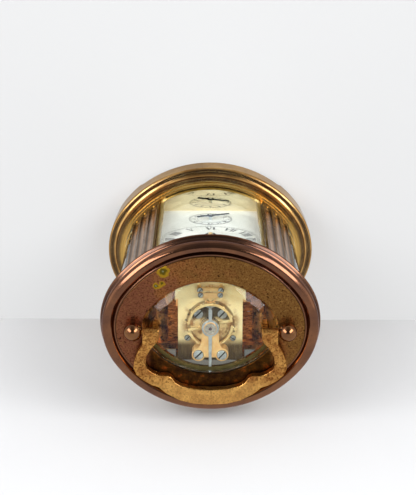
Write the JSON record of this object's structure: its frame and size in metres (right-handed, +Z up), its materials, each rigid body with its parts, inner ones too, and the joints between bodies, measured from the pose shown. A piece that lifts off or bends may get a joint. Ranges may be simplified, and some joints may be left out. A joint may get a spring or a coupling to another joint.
{
  "type": "oval carriage clock",
  "caption": "Oval glazed brass carriage clock with bail handle, fluted pilasters, white dial, alarm and a platform escapement seen through its top window.",
  "frame": {"origin": "middle of the oval base, on the surface it stands on", "axes": "+Z up the clock's height, -Y out of the dial, +Y out of the rear door, +X to the right seen from the front"},
  "size_m": [0.0956, 0.0796, 0.1341],
  "materials": {
    "base_brass": "aged polished brass",
    "polished_gilt": "polished gilt brass",
    "bronze": "reddish bronze patina, polished",
    "stained_bronze": "speckled reddish brown patina with stains",
    "pilaster_brass": "mauve brown patina in the flutes, worn brass lands",
    "glass": "clear, slightly green at the edges",
    "steel": "polished steel",
    "gilt_brass": "gilt brass",
    "handle_brass": "pitted gold brown brass",
    "ball_brass": "polished brown brass",
    "gilt": "satin gilt brass",
    "enamel": "white enamel",
    "blued_steel": "blued steel",
    "spring_steel": "spring steel",
    "bell_metal": "plated bell metal"
  },
  "bodies": {
    "case": {"base_plinth": "base_brass", "floor_plate": "polished_gilt", "front_left_pilaster": "pilaster_brass", "front_right_pilaster": "pilaster_brass", "rear_left_pilaster": "pilaster_brass", "rear_right_pilaster": "pilaster_brass", "cornice": "bronze", "top_plate": "stained_bronze", "top_glass": "glass", "front_glass": "glass", "left_glass": "glass", "right_glass": "glass", "case_rods": "steel", "ledge_screws": "steel", "left_handle_post": "ball_brass", "right_handle_post": "ball_brass", "handle_post_nuts": "steel", "movement_front_plate": "gilt", "movement_back_plate": "gilt", "movement_pillars": "gilt", "pillar_screws": "steel", "hold_down_screws": "steel", "dial": "enamel", "platform": "polished_gilt", "platform_screws": "steel", "balance_cock": "polished_gilt", "escape_cock": "polished_gilt", "bell": "bell_metal", "bell_post": "steel"},
    "bail_handle": {"handle": "handle_brass"},
    "door": {"rear_door": "gilt_brass", "door_glass": "glass", "door_knob": "gilt_brass"},
    "centre_arbor": {"centre_wheel": "gilt", "cannon_pinion": "steel", "minute_hand": "blued_steel"},
    "barrel": {"going_barrel": "gilt", "going_barrel_cap": "gilt", "mainspring": "spring_steel"},
    "winding": {"winding_arbor": "steel", "ratchet_wheel": "steel"},
    "click_arm": {"click": "steel"},
    "third_arbor": {"third_wheel": "gilt"},
    "contrate_arbor": {"contrate_wheel": "gilt"},
    "escape_arbor": {"escape_wheel": "gilt"},
    "minute_works": {"minute_wheel": "gilt"},
    "hour_works": {"hour_wheel": "gilt", "hour_hand": "blued_steel"},
    "idler_works": {"alarm_idler": "gilt"},
    "alarm_works": {"alarm_wheel": "gilt"},
    "lever_arbor": {"lever": "steel"},
    "balance_staff": {"balance": "gilt", "hairspring": "spring_steel"},
    "regulator_arm": {"regulator": "steel"},
    "alarm_drum": {"alarm_barrel": "gilt"},
    "alarm_winding": {"alarm_winding_arbor": "steel"},
    "alarm_escape": {"alarm_escape_wheel": "gilt"},
    "hammer_arbor": {"alarm_hammer": "steel"},
    "alarm_setting": {"alarm_setting_arbor": "steel", "alarm_hand": "blued_steel"}
  },
  "joints": [
    {"name": "handle_swing", "type": "hinge", "parent": "case", "child": "bail_handle", "pos_m": [0, 0, 0.1304], "axis": [1, 0, 0], "range_deg": [0, 170.74]},
    {"name": "door_swing", "type": "hinge", "parent": "case", "child": "door", "pos_m": [0.02178, 0.02484, 0.066], "axis": [0, 0, -1], "range_deg": [0, 88]},
    {"name": "centre_turn", "type": "hinge", "parent": "case", "child": "centre_arbor", "pos_m": [0, 0, 0.069], "axis": [0, 1, 0], "continuous": true},
    {"name": "barrel_turn", "type": "hinge", "parent": "case", "child": "barrel", "pos_m": [-0.00901, 0, 0.05383], "axis": [0, 1, 0], "continuous": true},
    {"name": "winding_turn", "type": "hinge", "parent": "case", "child": "winding", "pos_m": [-0.00901, 0, 0.05383], "axis": [0, 1, 0], "continuous": true},
    {"name": "click_rock", "type": "hinge", "parent": "case", "child": "click_arm", "pos_m": [-0.01715, 0.019, 0.05853], "axis": [0, 1, 0], "range_deg": [-12, 0]},
    {"name": "third_turn", "type": "hinge", "parent": "case", "child": "third_arbor", "pos_m": [0.00234, 0, 0.08412], "axis": [0, 1, 0], "continuous": true},
    {"name": "contrate_turn", "type": "hinge", "parent": "case", "child": "contrate_arbor", "pos_m": [0, 0, 0.0965], "axis": [0, 1, 0], "continuous": true},
    {"name": "escape_turn", "type": "hinge", "parent": "case", "child": "escape_arbor", "pos_m": [0, -0.00945, 0.115], "axis": [0, 0, 1], "continuous": true},
    {"name": "minute_works_turn", "type": "hinge", "parent": "case", "child": "minute_works", "pos_m": [0.00728, -0.015, 0.0732], "axis": [0, 1, 0], "continuous": true},
    {"name": "hour_turn", "type": "hinge", "parent": "case", "child": "hour_works", "pos_m": [0, -0.017, 0.069], "axis": [0, 1, 0], "continuous": true},
    {"name": "idler_turn", "type": "hinge", "parent": "case", "child": "idler_works", "pos_m": [0.00407, -0.015, 0.0527], "axis": [0, 1, 0], "continuous": true},
    {"name": "alarm_wheel_turn", "type": "hinge", "parent": "case", "child": "alarm_works", "pos_m": [0, -0.015, 0.0364], "axis": [0, 1, 0], "continuous": true},
    {"name": "lever_rock", "type": "hinge", "parent": "case", "child": "lever_arbor", "pos_m": [0, -0.0054, 0.1145], "axis": [0, 0, 1], "range_deg": [-5, 5]},
    {"name": "balance_swing", "type": "hinge", "parent": "case", "child": "balance_staff", "pos_m": [0, 0.0017, 0.116], "axis": [0, 0, 1], "range_deg": [-135, 135]},
    {"name": "regulator_set", "type": "hinge", "parent": "case", "child": "regulator_arm", "pos_m": [0, 0.0017, 0.12], "axis": [0, 0, 1], "range_deg": [-9, 9]},
    {"name": "alarm_barrel_turn", "type": "hinge", "parent": "case", "child": "alarm_drum", "pos_m": [0.01299, 0, 0.04203], "axis": [0, 1, 0], "continuous": true},
    {"name": "alarm_winding_turn", "type": "hinge", "parent": "case", "child": "alarm_winding", "pos_m": [0.01299, 0, 0.04203], "axis": [0, 1, 0], "continuous": true},
    {"name": "alarm_escape_turn", "type": "hinge", "parent": "case", "child": "alarm_escape", "pos_m": [0.01465, 0, 0.05141], "axis": [0, 1, 0], "continuous": true},
    {"name": "hammer_rock", "type": "hinge", "parent": "case", "child": "hammer_arbor", "pos_m": [0.0212, 0, 0.04781], "axis": [0, 1, 0], "range_deg": [-4, 1]},
    {"name": "alarm_set", "type": "hinge", "parent": "case", "child": "alarm_setting", "pos_m": [0, 0, 0.0364], "axis": [0, 1, 0], "continuous": true}
  ],
  "couplings": [
    {"joint": "barrel_turn", "follows": "centre_turn", "ratio": -0.16667},
    {"joint": "third_turn", "follows": "centre_turn", "ratio": -7.5},
    {"joint": "contrate_turn", "follows": "centre_turn", "ratio": 60},
    {"joint": "escape_turn", "follows": "centre_turn", "ratio": -480},
    {"joint": "minute_works_turn", "follows": "centre_turn", "ratio": -0.33333},
    {"joint": "hour_turn", "follows": "centre_turn", "ratio": 0.083333},
    {"joint": "idler_turn", "follows": "centre_turn", "ratio": -0.055556},
    {"joint": "alarm_wheel_turn", "follows": "centre_turn", "ratio": 0.083333},
    {"joint": "alarm_escape_turn", "follows": "alarm_barrel_turn", "ratio": -7.5}
  ]
}
